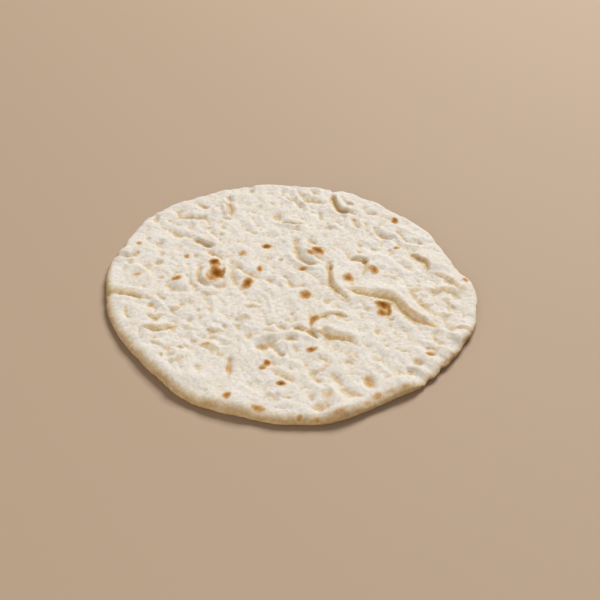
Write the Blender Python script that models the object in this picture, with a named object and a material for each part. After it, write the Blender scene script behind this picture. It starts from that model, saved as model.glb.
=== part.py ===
"""Pinsa: a round floured flatbread with a rounded rim, folds, creases, dents and blisters.

It is one closed body that lies on its flat underside, with its origin under its middle. The forms
below are in millimetres, with +X to the right and +Y away from the near edge, and the finished mesh
is in metres.
"""
import math
from collections import namedtuple

import bmesh
import bpy
import numpy as np
from mathutils import Vector, noise

MM = 0.001
NAME = "pinsa"

# Driving sizes of the loaf, in millimetres
MIDDLE_HEIGHT = 6.8         # top of the bread inside its rim
RIM_BAND = 26.0             # width over which the rim rises from the middle
FOOT = 3.6                  # how far in from the outline the rim meets the underside
LIFT_REACH = 20.0           # how far in from the outline the underside lies flat
WIDEST_AT = 0.36            # height of the widest line, as a share of the rim's side

# The outline's radius at every ten degrees, from +X anticlockwise
OUTLINE = (
    147.0, 138.5, 137.0, 140.5, 141.0, 141.0, 144.5, 149.0, 149.5,
    151.0, 153.5, 155.5, 155.0, 157.0, 158.5, 154.0, 149.5, 149.5,
    145.5, 143.5, 141.5, 139.5, 139.0, 140.5, 146.0, 148.0, 148.5,
    151.5, 154.0, 151.0, 149.0, 150.0, 149.0, 149.5, 150.0, 149.0,
)

# Heights at every thirty degrees: the rim's top, and the underside's edge above the table
RIM_TOP = (7.4, 7.0, 7.4, 7.4, 7.4, 7.6, 8.6, 9.6, 9.6, 8.6, 7.8, 7.6)
RIM_LIFT = (1.4, 1.0, 0.8, 0.8, 0.8, 0.8, 0.8, 0.8, 0.8, 1.0, 2.8, 2.6)
# How far in from the outline the rim starts to round over, at every fifteen degrees
SHOULDER = (5.2, 5.0, 5.0, 5.0, 5.0, 5.0, 5.0, 5.0, 5.0, 5.0, 5.4, 6.4,
            7.4, 8.2, 8.4, 8.4, 8.4, 8.0, 6.8, 6.8, 10.5, 9.6, 6.6, 5.4)

# Dips in the outline between two lobes of the rim: direction in degrees, depth, half-width in degrees
Notch = namedtuple("Notch", "direction depth spread")
NOTCHES = (
    Notch(73.8, 5.0, 1.6),
    Notch(86.0, 1.5, 2.0),
    Notch(137.5, 1.6, 1.6),
    Notch(160.5, 2.0, 2.2),
    Notch(5.0, 2.0, 2.5),
    Notch(318.0, 1.8, 1.8),
    Notch(332.0, 1.2, 1.8),
    Notch(312.0, 1.5, 1.5),
)

# A lap is dough folded over: its slanting face starts on the path, and the dough on the path's left
# is higher. It falls off again behind the face, over its reach.
Lap = namedtuple("Lap", "height face reach path")
LAPS = (
    # The long fold that crosses the right side, and its end, which turns toward the near edge
    Lap(3.0, 8.5, 11.0, ((42, -7), (45, -10), (49, -13), (55, -17), (62, -19), (69, -20), (75, -22),
                         (81, -25), (84, -31), (86, -36))),
    Lap(2.8, 6.6, 5.6, ((75, -22), (79, -23), (82, -26), (84, -32), (87, -39), (92, -46), (98, -51),
                        (105, -54), (114, -56))),
    # The step to the left of it
    Lap(1.9, 4.5, 8.0, ((33, 32), (33, 22), (32, 14), (32, 6), (32.5, -1), (35.5, -8), (39.5, -14),
                        (44, -21), (50, -34))),
    # The right side's terrace
    Lap(2.5, 3.6, 11.0, ((99, 43), (103, 36), (107, 31), (111, 27), (112, 21), (112, 12))),
    Lap(1.7, 4.5, 8.0, ((110, 11), (118, 9), (124, 4), (129, -3), (133, -11), (137, -18))),
    # The ear at the far rim
    Lap(1.7, 3.0, 5.0, ((38, 138), (38, 130), (39, 121), (41, 112), (44, 105), (50, 103), (58, 104))),
    # The tongue in the middle of the right side
    Lap(1.6, 5.0, 9.0, ((47, 34), (55, 31), (61, 27), (62, 20), (60, 12), (57, 6))),
    # Above and below the oval flap, and to the left of it
    Lap(1.6, 3.6, 4.0, ((19, -52), (23, -46), (29, -43), (36, -42), (42, -43), (48, -47))),
    Lap(2.7, 8.0, 6.0, ((19, -58), (21, -64), (26, -67), (32, -70), (39, -72), (46, -74), (52, -79))),
    Lap(1.7, 5.0, 5.0, ((0, -54), (6, -58), (11, -61), (16, -63), (19, -68), (23, -74))),
    # The wedge at the left rim
    Lap(1.7, 8.0, 9.0, ((-168, -8), (-153, -11), (-140, -15), (-130, -18), (-122, -19), (-114, -21),
                        (-104, -22))),
    # The near left's steps
    Lap(3.0, 5.6, 7.0, ((-111, -56), (-105, -61), (-99, -63), (-92, -62), (-86, -57), (-81, -53))),
    Lap(1.5, 5.6, 6.0, ((-66, -75), (-61, -80), (-55, -82), (-47, -81))),
)

# A fold is a crest along a path, with its fall to the left and to the right of the path
Fold = namedtuple("Fold", "height left right path")
FOLDS = (
    # The ridge that arches over the middle of the near side
    Fold(1.7, 3.6, 3.0, ((-31, -72), (-20, -68), (-10, -66), (0, -64), (10, -66), (18, -70), (26, -79))),
    Fold(1.3, 3.2, 3.2, ((-14, -84), (-6, -90), (4, -95), (14, -98))),
    # The lip round the hooked crease
    Fold(1.3, 3.4, 3.0, ((0, 42), (3, 31), (9, 24), (17, 20), (27, 21))),
    # The ridge that runs in from the far rim
    Fold(1.7, 3.0, 3.0, ((1, 145), (6, 132), (11, 121), (16, 110), (20, 102))),
    Fold(1.6, 5.0, 4.0, ((66, 28), (73, 34), (81, 31), (87, 24), (92, 15), (97, 7))),
    Fold(1.2, 2.8, 2.8, ((53, -87), (61, -95), (68, -103), (71, -110))),
    Fold(1.0, 4.0, 3.0, ((-112, -66), (-98, -67), (-84, -60))),
    Fold(1.4, 3.0, 3.4, ((-84, 82), (-77, 74), (-70, 69), (-64, 60), (-59, 48))),
    # The near right rim's roll
    Fold(2.4, 3.6, 6.0, ((58, -131), (63, -126), (69, -120), (75, -116), (82, -114), (89, -114), (97, -116))),
    # The near left rim's crest
    Fold(1.8, 5.0, 5.0, ((-119, -62), (-111, -80), (-101, -91), (-91, -100), (-81, -108), (-71, -114),
                         (-59, -118))),
)

# A crease is a groove along a path
Crease = namedtuple("Crease", "depth width path")
CREASES = (
    # The far side of the long fold, and the kink in it
    Crease(0.5, 2.6, ((95, -2), (98, -14), (103, -26), (109, -36), (116, -44), (125, -49))),
    # The hook
    Crease(2.3, 2.9, ((5, 67), (5, 55), (6, 45), (8, 36), (12, 30), (18, 26), (27, 27))),
    # Left of the oval flap
    Crease(1.5, 2.0, ((18, -49), (17, -58), (19, -66), (24, -73))),
    # Under the arched ridge
    Crease(2.1, 3.4, ((-25, -75), (-18, -78), (-13, -76), (-9, -80), (-5, -86), (0, -89))),
    Crease(0.9, 1.8, ((-13, -74), (-6, -71), (0, -70), (7, -69))),
    # The left side's grooves
    Crease(0.8, 1.6, ((-147, -13), (-138, -17), (-130, -18), (-122, -19), (-114, -21), (-104, -22))),
    Crease(1.7, 2.2, ((-142, 37), (-136, 34), (-129, 36), (-124, 43))),
    # The far left's valley and grooves
    Crease(1.6, 2.8, ((-112, 80), (-104, 76), (-97, 69), (-91, 66), (-85, 64), (-78, 58), (-70, 52),
                      (-62, 46))),
    Crease(1.9, 2.6, ((-105, 90), (-97, 96), (-90, 95), (-82, 94), (-70, 94))),
    Crease(1.5, 2.2, ((-68, 117), (-60, 118), (-55, 115), (-53, 106), (-52, 97))),
    # The ear at the far rim, and the right side's creases
    Crease(1.5, 2.0, ((38, 136), (38, 124), (40, 113), (44, 105), (50, 102), (58, 103))),
    Crease(1.7, 2.4, ((67, 115), (66, 106), (69, 101), (79, 102))),
    Crease(1.9, 2.2, ((57, 95), (57, 85), (61, 76))),
    Crease(1.5, 1.9, ((73, 84), (74, 75), (76, 69), (80, 64), (89, 61))),
    Crease(1.7, 2.1, ((88, 73), (93, 70), (96, 64), (99, 58), (105, 55), (116, 55))),
    # The near side's creases
    Crease(1.8, 3.8, ((31, -103), (35, -113), (38, -120), (42, -126), (48, -131))),
    Crease(1.8, 2.7, ((83, -107), (90, -107), (96, -108), (102, -111), (106, -117))),
    Crease(2.2, 2.2, ((-42, -88), (-41, -99), (-41, -110))),
    Crease(1.7, 2.0, ((-9, 88), (0, 86), (13, 84))),
)

# A mound stands above the surface, and below it where its height is negative
Mound = namedtuple("Mound", "x y height long wide turn")
MOUNDS = (
    # The large blister, the small one beside it and the swelling at the left rim
    Mound(-62, 13, 2.6, 11.0, 17.0, -8),
    Mound(-86, -1, 2.0, 8.0, 8.0, 0),
    Mound(-121, 8, 2.0, 13.0, 12.0, 0),
    Mound(-133, 44, 1.2, 7.0, 6.0, 0),
    # The oval flap
    Mound(35, -54, 2.2, 16.0, 8.0, -12),
    # The lobes along the far and right rim
    Mound(51, 119, 1.4, 10.0, 12.0, 25),
    Mound(75, 110, 1.5, 8.0, 7.0, 0),
    Mound(84, 76, 0.9, 8.0, 9.0, 0),
    Mound(108, 66, 0.9, 10.0, 7.0, -20),
    Mound(128, -68, 2.6, 8.0, 7.0, 20),
    Mound(114, -85, 2.2, 6.0, 7.0, 40),
    Mound(-62, 106, 1.8, 8.0, 9.0, 0),
    # The near lobes
    Mound(83, -117, 1.4, 15.0, 6.0, 8),
    Mound(19, 41, 1.8, 9.0, 9.0, 0),
    # Dents
    Mound(-11, 97, -2.2, 4.6, 6.4, 20),
    Mound(-78, 58, -1.2, 4.0, 3.0, 0),
    Mound(-69, 52, -1.7, 5.6, 3.4, -30),
    Mound(-125, -57, -1.6, 4.0, 5.0, 0),
    Mound(23, -141, -2.4, 7.0, 4.6, 12),
    Mound(-36, 141, -1.9, 3.0, 5.0, 0),
    Mound(13, 125, -1.4, 5.0, 4.0, 0),
    Mound(27, 98, -1.7, 2.4, 7.0, 10),
    Mound(-18, 67, -1.4, 8.0, 5.0, 0),
    Mound(-77, 112, -2.0, 5.6, 3.6, -35),
    Mound(-97, 102, -2.4, 4.0, 6.0, -25),
    Mound(-117, 92, -2.2, 2.8, 6.0, 10),
    Mound(-109, 54, -2.0, 3.4, 4.6, 0),
    Mound(-107, 27, -1.7, 3.6, 3.6, 0),
    Mound(33, 19, -1.8, 3.4, 4.6, 0),
    Mound(112, -68, -0.9, 9.0, 5.0, -20),
    Mound(57, -115, -2.2, 4.4, 8.6, 8),
    Mound(27, -129, -2.2, 5.0, 6.0, 0),
    Mound(94, -95, -1.5, 4.0, 4.0, 0),
    Mound(102, -84, -1.2, 4.0, 3.4, 0),
    Mound(46, -88, -1.1, 7.0, 6.0, 0),
)

# Unevenness of the whole top and of the outline: wavelengths and heights, and the seed of each
WRINKLES = ((30.0, 0.8), (14.0, 0.9), (8.0, 0.5))
WRINKLE_SEED = 11
WRINKLE_TURN = -55.0        # the direction in which the small swellings are drawn out
WRINKLE_STRETCH = 1.7       # and by how much
PUCKERS = ((21.0, 2.2), (12.0, 1.8), (7.0, 0.9))
PUCKER_SEED = 71
PUCKER_SOFT = 0.10          # rounds the creases between the swellings
PUCKER_LEVEL = 0.22         # brings the swellings' mean height down to nothing
RIM_LUMPS = ((34.0, 1.0), (13.0, 0.9))
RIM_SEED = 31

PATH_STEPS = 5              # straight pieces between two points of a path
PATH_FADE = 0.16            # share of a path over which its height runs out at each end
LAP_FADE = 0.28             # and the same for a lap
LAP_ENDS = 0.4              # a face's width at its path's ends, as a share of its full width
LAP_ROUND = 0.45            # 0 for an even slant up to a sharp edge, 1 for a rounded face
LAP_EDGE = 0.16             # how far the dough's edge stands up, as a share of the lap's height
LAP_EDGE_WIDTH = 2.0        # half the width of that edge
# The lips beside a crease: their height as a share of its depth, and their place and width in its widths
LIP_HEIGHT = 0.35
LIP_PLACE = 2.3
LIP_WIDTH = 1.0
CREASE_EDGE = 1.6           # below 2, a crease has a sharper bottom
BARE_FROM = 2.3             # height of a fold at which its face is quite bare of flour
BARE_UP_TO = 1.7            # above 1, the face stays bare nearer to its upper edge
SMOOTHED = 0.7              # how much of the small unevenness a bare face loses
MOUND_EDGE = 1.5            # above 1, a mound has a flatter top and a firmer edge
THINNEST = 2.6              # least dough between the top and the underside
FLAT_WITHIN = 0.05          # what lies this close to the table lies on it
ROUNDING = 0.0001           # places of the blank that differ by less are the same

# The mesh: quads across the top, rows down the rim's side, and triangles once it is simplified
ACROSS = 130
DOWN = 8
TRIANGLES = 10400

CRUST_COLOUR = (0.745, 0.640, 0.500, 1.0)
CRUST_ROUGHNESS = 0.85


def around(values, angle):
    """A smooth closed curve through values that stand evenly round the rim."""
    count = len(values)
    place = angle / (2 * math.pi) * count
    start = np.floor(place).astype(int)
    t = place - start
    before, here, after, beyond = (np.take(values, (start + step) % count) for step in (-1, 0, 1, 2))
    bend = 2 * before - 5 * here + 4 * after - beyond
    twist = 3 * (here - after) + beyond - before
    return here + t / 2 * (after - before + t * (bend + t * twist))


def ripple(x, y, waves, seed, shape=None):
    """Uneven dough: smooth noise of several wavelengths, each shifted by the seed."""
    total = np.zeros(len(x))
    for number, (length, height) in enumerate(waves):
        layer = seed + number
        wave = np.array([noise.noise(Vector((a / length, b / length, layer))) for a, b in zip(x, y)])
        total += height * (wave if shape is None else shape(wave))
    return total


def drawn_out(x, y):
    """The same places with the wrinkles' direction squeezed, so that swellings laid on them are drawn out."""
    turn = math.radians(WRINKLE_TURN)
    ahead = (x * math.cos(turn) + y * math.sin(turn)) / WRINKLE_STRETCH
    return ahead, y * math.cos(turn) - x * math.sin(turn)


def pucker(wave):
    """Rounded swellings that meet in sharp creases."""
    return np.sqrt(wave * wave + PUCKER_SOFT ** 2) - PUCKER_LEVEL


def smooth_path(points):
    """A path's own points with a curve through them, as a closely spaced line."""
    ends = [points[0], *points, points[-1]]
    line = []
    for before, here, after, beyond in zip(ends, ends[1:], ends[2:], ends[3:]):
        before, here, after, beyond = (np.array(point, float) for point in (before, here, after, beyond))
        bend = 2 * before - 5 * here + 4 * after - beyond
        twist = 3 * (here - after) + beyond - before
        for t in np.arange(PATH_STEPS) / PATH_STEPS:
            line.append(here + t / 2 * (after - before + t * (bend + t * twist)))
    line.append(np.array(points[-1], float))
    return np.array(line)


def beside_path(x, y, points):
    """Each place's signed distance from a path, positive on its left, and its share of the way along."""
    line = smooth_path(points)
    lengths = np.linalg.norm(np.diff(line, axis=0), axis=1)
    travelled = np.concatenate([[0], np.cumsum(lengths)]) / lengths.sum()
    nearest = np.full(len(x), np.inf)
    side = np.ones(len(x))
    along = np.zeros(len(x))
    for number, (start, end) in enumerate(zip(line, line[1:])):
        run = end - start
        share = ((x - start[0]) * run[0] + (y - start[1]) * run[1]) / (run @ run)
        share = np.clip(share, 0, 1)
        off_x = x - start[0] - share * run[0]
        off_y = y - start[1] - share * run[1]
        distance = np.hypot(off_x, off_y)
        closer = distance < nearest
        nearest = np.where(closer, distance, nearest)
        side = np.where(closer, np.sign(run[0] * off_y - run[1] * off_x), side)
        reached = travelled[number] + share * (travelled[number + 1] - travelled[number])
        along = np.where(closer, reached, along)
    return nearest * side, along


def fading(along, fade=PATH_FADE):
    """Full height along a path's middle, running out at both its ends."""
    rise = np.clip(along / fade, 0, 1) * np.clip((1 - along) / fade, 0, 1)
    return rise * rise * (3 - 2 * rise)


def lap_form(x, y):
    """Height of the folded dough and how bare of flour it is, which is most at the foot of its face."""
    height = np.zeros(len(x))
    bare = np.zeros(len(x))
    for lap in LAPS:
        off, along = beside_path(x, y, lap.path)
        share = fading(along, LAP_FADE)
        face = lap.face * (LAP_ENDS + (1 - LAP_ENDS) * share)
        up = np.clip(off / face, 0, 1)
        behind = np.exp(-(np.clip(off - face, 0, None) / lap.reach) ** 2)
        full = lap.height * share
        slant = up + LAP_ROUND * (np.sin(up * math.pi / 2) - up)
        edge = LAP_EDGE * np.exp(-((off - face) / LAP_EDGE_WIDTH) ** 2)
        height += full * (slant * behind + edge)
        clean = np.where(off > 0, 1 - up ** BARE_UP_TO, 0) * np.clip(full / BARE_FROM, 0, 1)
        bare = np.maximum(bare, clean)
    return height, bare


def fold_height(x, y):
    """Height of the folds' crests, steeper on one side than on the other."""
    height = np.zeros(len(x))
    for fold in FOLDS:
        off, along = beside_path(x, y, fold.path)
        width = np.where(off > 0, fold.left, fold.right)
        height += fold.height * fading(along) * np.exp(-(off / width) ** 2)
    return height


def crease_depth(x, y):
    """Depth of the creases between their two lips."""
    depth = np.zeros(len(x))
    for crease in CREASES:
        off, along = beside_path(x, y, crease.path)
        across = np.abs(off / crease.width)
        lips = LIP_HEIGHT * np.exp(-((across - LIP_PLACE) / LIP_WIDTH) ** 2)
        depth += crease.depth * fading(along) * (np.exp(-across ** CREASE_EDGE) - lips)
    return depth


def mound_height(x, y):
    """Height of the swellings, and depth of the dents as a negative height."""
    height = np.zeros(len(x))
    for mound in MOUNDS:
        turn = math.radians(mound.turn)
        right = (x - mound.x) * math.cos(turn) + (y - mound.y) * math.sin(turn)
        ahead = (y - mound.y) * math.cos(turn) - (x - mound.x) * math.sin(turn)
        spread = np.hypot(right / mound.long, ahead / mound.wide)
        height += mound.height * np.exp(-spread ** (2 * MOUND_EDGE))
    return height


def relief(x, y):
    """Height of the laps, folds, creases, mounds, dents and wrinkles above the plain bread."""
    laps, bare = lap_form(x, y)
    swellings = ripple(*drawn_out(x, y), PUCKERS, PUCKER_SEED, pucker) * (1 - SMOOTHED * bare)
    uneven = ripple(x, y, WRINKLES, WRINKLE_SEED) + swellings
    return laps + fold_height(x, y) - crease_depth(x, y) + mound_height(x, y) + uneven


def outline_radius(angle):
    """Distance from the middle to the outline in each direction."""
    radius = around(OUTLINE, angle)
    for notch in NOTCHES:
        off = (np.degrees(angle) - notch.direction + 180) % 360 - 180
        radius = radius - notch.depth * np.exp(-(off / notch.spread) ** 2)
    round_x = radius * np.cos(angle)
    round_y = radius * np.sin(angle)
    return radius + ripple(round_x, round_y, RIM_LUMPS, RIM_SEED)


def top_height(x, y, inset, angle):
    """Height of the bread's top at a place that lies inset from the outline."""
    rise = np.exp(-(inset / RIM_BAND) ** 2)
    plain = MIDDLE_HEIGHT + (around(RIM_TOP, angle) - MIDDLE_HEIGHT) * rise
    least = bottom_height(inset, angle) + THINNEST
    return np.maximum(plain + relief(x, y), least)


def bottom_height(inset, angle):
    """Height of the underside, which is flat on the table except near the rim."""
    share = np.clip(1 - inset / LIFT_REACH, 0, 1)
    return around(RIM_LIFT, angle) * share ** 2


def square_to_round(x, y):
    """Turn a square's places into a share of the radius and a direction, ring by ring."""
    wide = np.abs(x) >= np.abs(y)
    ring = np.where(wide, np.abs(x), np.abs(y))
    safe_x = np.where(wide & (ring > 0), x, 1)
    safe_y = np.where(~wide, y, 1)
    flat_angle = y / safe_x * math.pi / 4 + np.where(x < 0, math.pi, 0)
    steep_angle = math.pi / 2 - x / safe_y * math.pi / 4 + np.where(y < 0, math.pi, 0)
    return ring, np.where(wide, flat_angle, steep_angle) % (2 * math.pi)


def shape(places):
    """Move the blank's points, a cube from -1 to 1, to the bread's surface in millimetres."""
    level = places[:, 2]
    ring, angle = square_to_round(places[:, 0], places[:, 1])
    radius = outline_radius(angle)
    on_side = ring > 1 - ROUNDING
    over = level > 0
    shoulder = around(SHOULDER, angle)
    edge = np.where(over, shoulder, FOOT)
    flat_inset = radius - ring * (radius - edge)
    # Places on the side take their heights from the shoulder above them and the foot below them
    top_inset = np.where(on_side, shoulder, flat_inset)
    x = (radius - top_inset) * np.cos(angle)
    y = (radius - top_inset) * np.sin(angle)
    top = top_height(x, y, top_inset, angle)
    bottom = bottom_height(np.where(on_side, FOOT, flat_inset), angle)
    # The side is a quarter ellipse over the widest line and another one under it
    widest = bottom + WIDEST_AT * (top - bottom)
    turn = level * math.pi / 2
    side_inset = edge * (1 - np.cos(turn))
    side_height = widest + np.where(over, top - widest, widest - bottom) * np.sin(turn)
    inset = np.where(on_side, side_inset, flat_inset)
    height = np.where(on_side, side_height, np.where(over, top, bottom))
    reach = radius - inset
    return np.column_stack([reach * np.cos(angle), reach * np.sin(angle), height])


def is_level(edge):
    """Whether an edge of the blank runs along the table."""
    return abs(edge.verts[0].co.z - edge.verts[1].co.z) < ROUNDING


def make_blank():
    """A cube whose top and underside are cut into a grid and whose sides are cut into rows."""
    blank = bmesh.new()
    bmesh.ops.create_cube(blank, size=2)
    uprights = [edge for edge in blank.edges if not is_level(edge)]
    bmesh.ops.subdivide_edges(blank, edges=uprights, cuts=DOWN - 1)
    level = [edge for edge in blank.edges if is_level(edge)]
    bmesh.ops.subdivide_edges(blank, edges=level, cuts=ACROSS - 1, use_grid_fill=True)
    return blank


def make_bread(collection):
    """The blank shaped, its flat underside made one face, and the rest simplified."""
    bread = make_blank()
    places = shape(np.array([vertex.co for vertex in bread.verts]))
    for vertex, place in zip(bread.verts, places):
        vertex.co = place * MM
    resting = [face for face in bread.faces if all(vertex.co.z == 0 for vertex in face.verts)]
    bmesh.ops.dissolve_faces(bread, faces=resting, use_verts=True)
    bmesh.ops.triangulate(bread, faces=bread.faces[:])
    mesh = bpy.data.meshes.new(NAME)
    bread.to_mesh(mesh)
    bread.free()
    full = bpy.data.objects.new(NAME, mesh)
    collection.objects.link(full)
    simpler = full.modifiers.new("Simpler", "DECIMATE")
    simpler.ratio = TRIANGLES / len(mesh.polygons)
    bpy.context.view_layer.update()
    evaluated = full.evaluated_get(bpy.context.evaluated_depsgraph_get())
    final = bpy.data.meshes.new_from_object(evaluated)
    full.modifiers.clear()
    full.data = final
    final.name = NAME
    bpy.data.meshes.remove(mesh)
    settle(final)
    return full


def settle(mesh):
    """Put the origin under the middle of the bread, and the flat of its underside on the table."""
    corners = np.array([vertex.co for vertex in mesh.vertices])
    middle = (corners.min(axis=0) + corners.max(axis=0)) / 2
    for vertex in mesh.vertices:
        vertex.co.x -= middle[0]
        vertex.co.y -= middle[1]
        if vertex.co.z < FLAT_WITHIN * MM:
            vertex.co.z = 0
    mesh.shade_smooth()


def crust_material():
    """Pale floured dough."""
    material = bpy.data.materials.new("floured_crust")
    material.use_nodes = True
    surface = material.node_tree.nodes["Principled BSDF"]
    surface.inputs["Base Color"].default_value = CRUST_COLOUR
    surface.inputs["Roughness"].default_value = CRUST_ROUGHNESS
    surface.inputs["Metallic"].default_value = 0.0
    return material


def main():
    """Empty the file and build the bread in a collection of its own."""
    for item in list(bpy.data.objects):
        bpy.data.objects.remove(item)
    collection = bpy.data.collections.new("Pinsa")
    bpy.context.scene.collection.children.link(collection)
    bread = make_bread(collection)
    bread.data.materials.append(crust_material())


main()
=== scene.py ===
"""Looks of the pinsa: a floured flatbread with toasted blisters, on a plain pale floor.

The bread's fine surface follows the same named forms as its solid, in millimetres. It adds the small
laps, crests, creases and dents, the grain and the browned spots that the solid leaves out.
"""
import math
from collections import namedtuple

import bmesh
import bpy
import numpy as np
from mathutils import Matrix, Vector, noise


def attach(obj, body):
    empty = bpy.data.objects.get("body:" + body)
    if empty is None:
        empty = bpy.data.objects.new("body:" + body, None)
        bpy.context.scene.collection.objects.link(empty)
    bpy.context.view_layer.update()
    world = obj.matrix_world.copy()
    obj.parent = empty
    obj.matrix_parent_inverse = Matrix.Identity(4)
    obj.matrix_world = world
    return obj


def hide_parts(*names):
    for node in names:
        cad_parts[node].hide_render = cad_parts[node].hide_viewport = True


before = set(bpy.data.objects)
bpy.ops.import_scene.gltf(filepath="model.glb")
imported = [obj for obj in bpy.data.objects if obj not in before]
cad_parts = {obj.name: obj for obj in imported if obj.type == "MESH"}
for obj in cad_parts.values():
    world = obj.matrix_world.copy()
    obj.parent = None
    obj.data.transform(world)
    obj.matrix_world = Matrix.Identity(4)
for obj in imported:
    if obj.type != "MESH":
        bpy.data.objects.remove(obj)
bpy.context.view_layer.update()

MM = 0.001
NODE = "pinsa"

# Driving sizes of the bread, in millimetres
MIDDLE_HEIGHT = 6.8         # top of the bread inside its rim
RIM_BAND = 26.0             # width over which the rim rises from the middle
FOOT = 3.6                  # how far in from the outline the rim meets the underside
LIFT_REACH = 20.0           # how far in from the outline the underside lies flat
WIDEST_AT = 0.36            # height of the widest line, as a share of the rim's side

# The outline's radius at every ten degrees, from +X anticlockwise
OUTLINE = (
    147.0, 138.5, 137.0, 140.5, 141.0, 141.0, 144.5, 149.0, 149.5,
    151.0, 153.5, 155.5, 155.0, 157.0, 158.5, 154.0, 149.5, 149.5,
    145.5, 143.5, 141.5, 139.5, 139.0, 140.5, 146.0, 148.0, 148.5,
    151.5, 154.0, 151.0, 149.0, 150.0, 149.0, 149.5, 150.0, 149.0,
)

# Heights at every thirty degrees: the rim's top, and the underside's edge above the table
RIM_TOP = (7.4, 7.0, 7.4, 7.4, 7.4, 7.6, 8.6, 9.6, 9.6, 8.6, 7.8, 7.6)
RIM_LIFT = (1.4, 1.0, 0.8, 0.8, 0.8, 0.8, 0.8, 0.8, 0.8, 1.0, 2.8, 2.6)
# How far in from the outline the rim starts to round over, at every fifteen degrees
SHOULDER = (5.2, 5.0, 5.0, 5.0, 5.0, 5.0, 5.0, 5.0, 5.0, 5.0, 5.4, 6.4,
            7.4, 8.2, 8.4, 8.4, 8.4, 8.0, 6.8, 6.8, 10.5, 9.6, 6.6, 5.4)

# Share of the rim's shoulder that stays pale, at every fifteen degrees. Flour covers it, and the share is
# smallest on the near and left side, where the tan below is partly painted shade away from the main light.
FLOURED_AND_LIT = (0.60, 0.60, 0.60, 0.60, 0.60, 0.60, 0.60, 0.60, 0.60, 0.54, 0.45, 0.28,
           0.18, 0.18, 0.20, 0.20, 0.16, 0.12, 0.10, 0.16, 0.28, 0.38, 0.45, 0.55)
FLOUR_EDGE = 0.30           # share of the shoulder over which the flour thins out into the tan and painted shade of the side

# Dips in the outline between two lobes of the rim: direction in degrees, depth, half-width in degrees
Notch = namedtuple("Notch", "direction depth spread")
NOTCHES = (
    Notch(73.8, 5.0, 1.6),
    Notch(86.0, 1.5, 2.0),
    Notch(137.5, 1.6, 1.6),
    Notch(160.5, 2.0, 2.2),
    Notch(5.0, 2.0, 2.5),
    Notch(318.0, 1.8, 1.8),
    Notch(332.0, 1.2, 1.8),
    Notch(312.0, 1.5, 1.5),
)

# A lap is dough folded over: its slanting face starts on the path, and the dough on the path's left
# is higher. It falls off again behind the face, over its reach.
Lap = namedtuple("Lap", "height face reach path")
LAPS = (
    # The long fold that crosses the right side, and its end, which turns toward the near edge
    Lap(3.0, 8.5, 11.0, ((42, -7), (45, -10), (49, -13), (55, -17), (62, -19), (69, -20), (75, -22),
                         (81, -25), (84, -31), (86, -36))),
    Lap(2.8, 6.6, 5.6, ((75, -22), (79, -23), (82, -26), (84, -32), (87, -39), (92, -46), (98, -51),
                        (105, -54), (114, -56))),
    # The step to the left of it
    Lap(1.9, 4.5, 8.0, ((33, 32), (33, 22), (32, 14), (32, 6), (32.5, -1), (35.5, -8), (39.5, -14),
                        (44, -21), (50, -34))),
    # The right side's terrace
    Lap(2.5, 3.6, 11.0, ((99, 43), (103, 36), (107, 31), (111, 27), (112, 21), (112, 12))),
    Lap(1.7, 4.5, 8.0, ((110, 11), (118, 9), (124, 4), (129, -3), (133, -11), (137, -18))),
    # The ear at the far rim
    Lap(1.7, 3.0, 5.0, ((38, 138), (38, 130), (39, 121), (41, 112), (44, 105), (50, 103), (58, 104))),
    # The tongue in the middle of the right side
    Lap(1.6, 5.0, 9.0, ((47, 34), (55, 31), (61, 27), (62, 20), (60, 12), (57, 6))),
    # Above and below the oval flap, and to the left of it
    Lap(1.6, 3.6, 4.0, ((19, -52), (23, -46), (29, -43), (36, -42), (42, -43), (48, -47))),
    Lap(2.7, 8.0, 6.0, ((19, -58), (21, -64), (26, -67), (32, -70), (39, -72), (46, -74), (52, -79))),
    Lap(1.7, 5.0, 5.0, ((0, -54), (6, -58), (11, -61), (16, -63), (19, -68), (23, -74))),
    # The wedge at the left rim
    Lap(1.7, 8.0, 9.0, ((-168, -8), (-153, -11), (-140, -15), (-130, -18), (-122, -19), (-114, -21),
                        (-104, -22))),
    # The near left's steps
    Lap(3.0, 5.6, 7.0, ((-111, -56), (-105, -61), (-99, -63), (-92, -62), (-86, -57), (-81, -53))),
    Lap(1.5, 5.6, 6.0, ((-66, -75), (-61, -80), (-55, -82), (-47, -81))),
)
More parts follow.
